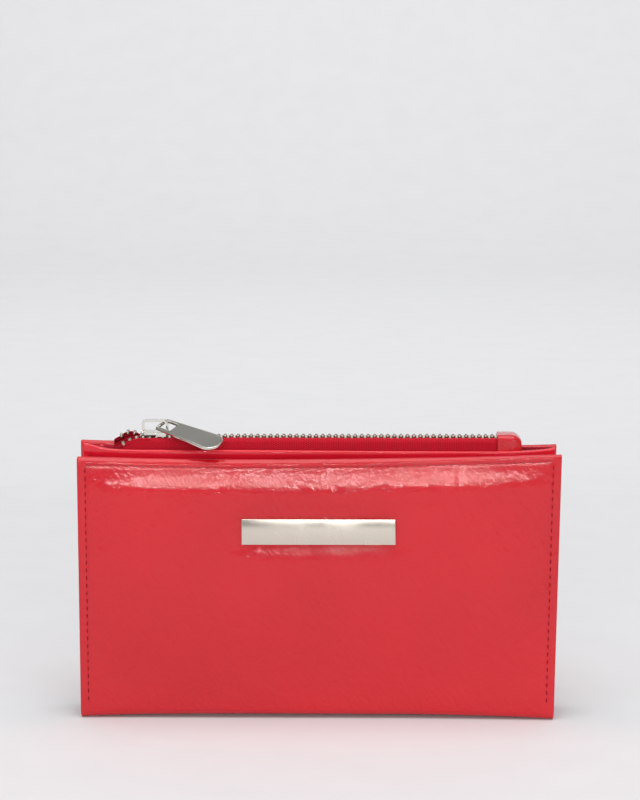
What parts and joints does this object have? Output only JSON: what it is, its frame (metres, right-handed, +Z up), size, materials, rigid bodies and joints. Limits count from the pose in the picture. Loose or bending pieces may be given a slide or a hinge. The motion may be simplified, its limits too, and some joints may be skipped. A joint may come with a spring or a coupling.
{
  "type": "bifold zip-top wallet",
  "caption": "Upright two-fold leather wallet with a turning front cover, a zipped coin pocket on top with slider and pull, card slots, a press stud and a blank metal name plate.",
  "frame": {"origin": "middle of the spine's flat underside, on which the closed wallet stands", "axes": "+X along the spine towards the closed end of the zip, +Y from the front cover to the back, +Z up to the zip"},
  "size_m": [0.19, 0.0262, 0.1194],
  "materials": {
    "glazed_leather": "glazed patent, crinkled",
    "smooth_leather": "smooth, semi-gloss",
    "card_board": "plain",
    "twill": "woven",
    "woven_tape": "woven",
    "thread": "twisted thread",
    "nickel": "polished nickel",
    "satin_nickel": "satin nickel"
  },
  "bodies": {
    "back_half": {"back_leather": "glazed_leather", "back_board": "card_board", "back_thread": "thread", "pocket_front_leather": "smooth_leather", "pocket_thread": "thread", "pocket_card_slot_1": "smooth_leather", "pocket_card_slot_2": "smooth_leather", "pocket_card_slot_3": "smooth_leather", "pocket_lining_front": "twill", "pocket_lining_back": "twill", "pocket_lining_base": "twill", "left_gusset": "twill", "right_gusset": "twill", "zip_tape_front": "woven_tape", "zip_tape_back": "woven_tape", "zip_teeth_front": "nickel", "zip_teeth_back": "nickel", "zip_bottom_stop": "nickel", "zip_end_tab": "glazed_leather", "snap_stud": "nickel", "snap_rivet": "nickel"},
    "spine": {"spine_leather": "glazed_leather", "spine_lining": "smooth_leather"},
    "front_cover": {"front_cover_leather": "glazed_leather", "front_cover_board": "card_board", "front_cover_lining": "smooth_leather", "front_cover_thread": "thread", "cover_card_slot_1": "smooth_leather", "cover_card_slot_2": "smooth_leather", "cover_card_slot_3": "smooth_leather", "name_plate": "satin_nickel", "plate_washer_left": "nickel", "plate_washer_right": "nickel", "snap_cap": "nickel", "snap_socket": "nickel", "snap_spring": "nickel"},
    "slider": {"slider_body": "nickel", "slider_crown": "nickel"},
    "pull": {"pull_tab": "nickel"}
  },
  "joints": [
    {"name": "spine_fold", "type": "hinge", "parent": "back_half", "child": "spine", "pos_m": [0, 0.01026, 0.00064], "axis": [1, 0, 0], "range_deg": [0, 90]},
    {"name": "cover_fold", "type": "hinge", "parent": "spine", "child": "front_cover", "pos_m": [0, -0.01026, 0.00064], "axis": [1, 0, 0], "range_deg": [0, 90]},
    {"name": "slider_travel", "type": "slide", "parent": "back_half", "child": "slider", "axis": [1, 0, 0], "range_m": [0, 0.122], "deforming": ["zip_teeth_front", "zip_teeth_back"]},
    {"name": "pull_swing", "type": "hinge", "parent": "slider", "child": "pull", "pos_m": [-0.0629, 0.0031, 0.1173], "axis": [-0.5446, -0.8387, 0], "range_deg": [0, 140]}
  ],
  "couplings": [
    {"joint": "cover_fold", "follows": "spine_fold", "ratio": 1}
  ]
}
